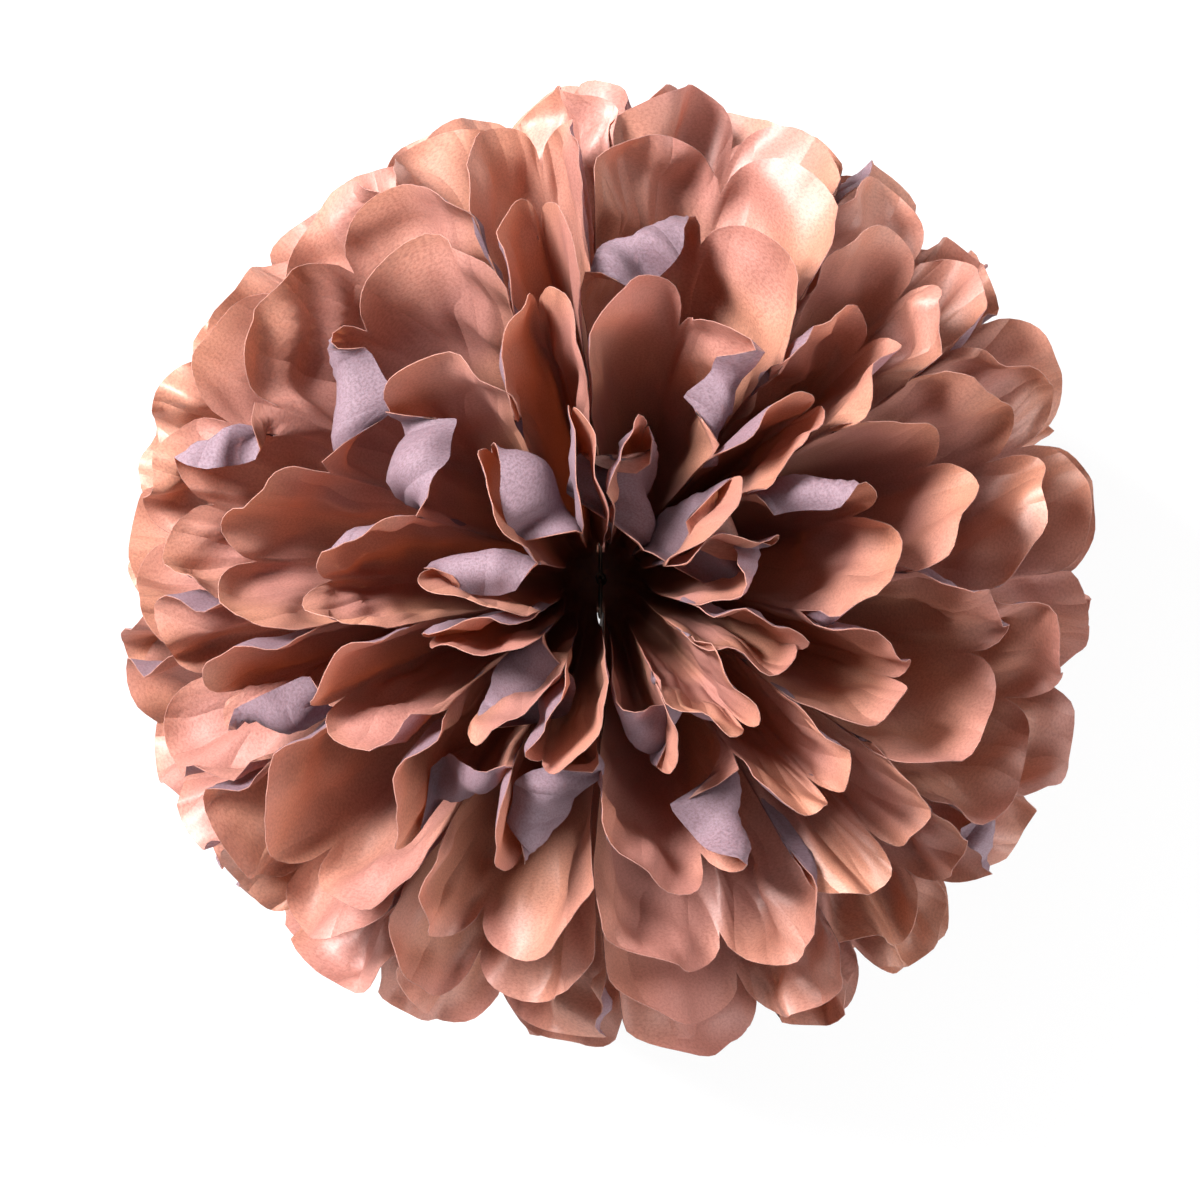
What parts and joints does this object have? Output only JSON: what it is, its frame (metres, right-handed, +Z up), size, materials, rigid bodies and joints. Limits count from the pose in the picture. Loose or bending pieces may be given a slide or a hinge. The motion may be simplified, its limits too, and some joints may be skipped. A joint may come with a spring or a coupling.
{
  "type": "tissue paper pom pom",
  "caption": "Ball of pleated tissue paper sheets, bound round the waist with a twisted wire and pulled open into round petals; a light party or wall decoration.",
  "frame": {"origin": "on the table, under the middle of the tie", "axes": "+Z up through both poles of the ball, square to the waist; +Y along the slit between the two fans of every sheet"},
  "size_m": [0.2458, 0.2462, 0.241],
  "materials": {
    "tissue": "satin",
    "wire": "satin"
  },
  "bodies": {
    "root": {"tissue_sheet_01": "tissue", "tissue_sheet_02": "tissue", "tissue_sheet_03": "tissue", "tissue_sheet_04": "tissue", "tissue_sheet_05": "tissue", "tissue_sheet_06": "tissue", "tissue_sheet_07": "tissue", "tissue_sheet_08": "tissue", "tissue_sheet_09": "tissue", "tissue_sheet_10": "tissue", "tissue_sheet_11": "tissue", "tissue_sheet_12": "tissue", "tie_wire": "wire"}
  },
  "joints": []
}
